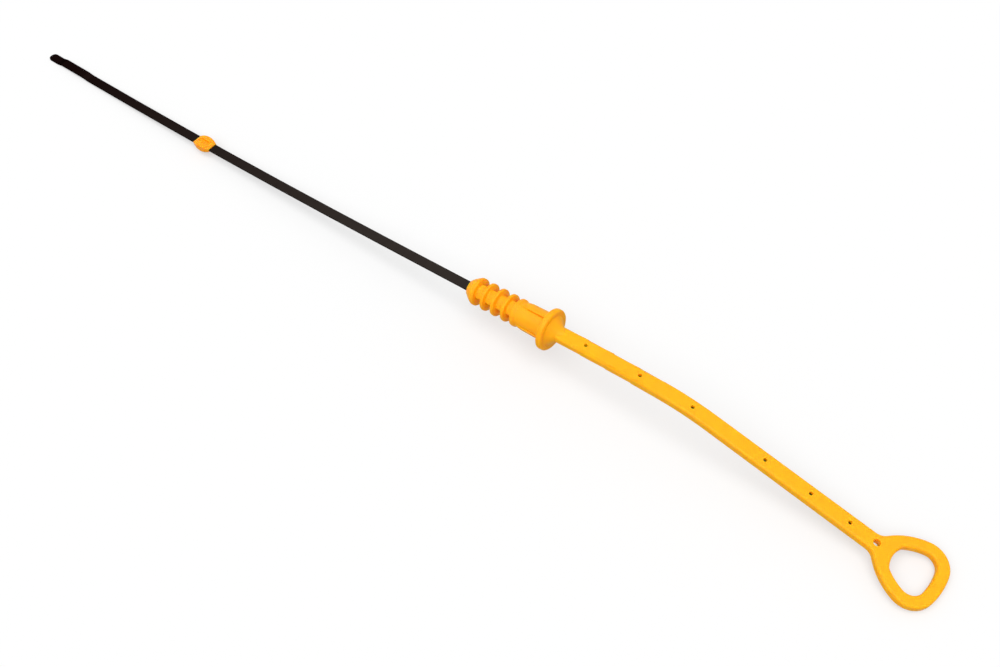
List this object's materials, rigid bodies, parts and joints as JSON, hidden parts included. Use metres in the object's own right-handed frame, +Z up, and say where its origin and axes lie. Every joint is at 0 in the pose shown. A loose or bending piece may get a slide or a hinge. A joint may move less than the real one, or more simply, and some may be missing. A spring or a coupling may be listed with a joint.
{
  "type": "engine oil dipstick",
  "caption": "Engine oil dipstick: black steel strip with a guide bead and a pressed measuring end, and a moulded handle with a finned plug, flange, bent arm and finger ring.",
  "frame": {"origin": "centre of the flange's seating face, on the plug's axis", "axes": "+X along the part's length towards the finger ring as the part lies at rest, +Z up from the surface it lies on; the plug's axis is in the XZ plane and rises towards the ring"},
  "size_m": [0.5985, 0.035, 0.0349],
  "materials": {
    "blade_steel": "satin black oxide",
    "yellow_plastic": "moulded satin"
  },
  "bodies": {
    "root": {"blade": "blade_steel", "guide_bead": "yellow_plastic", "handle": "yellow_plastic"}
  },
  "joints": []
}
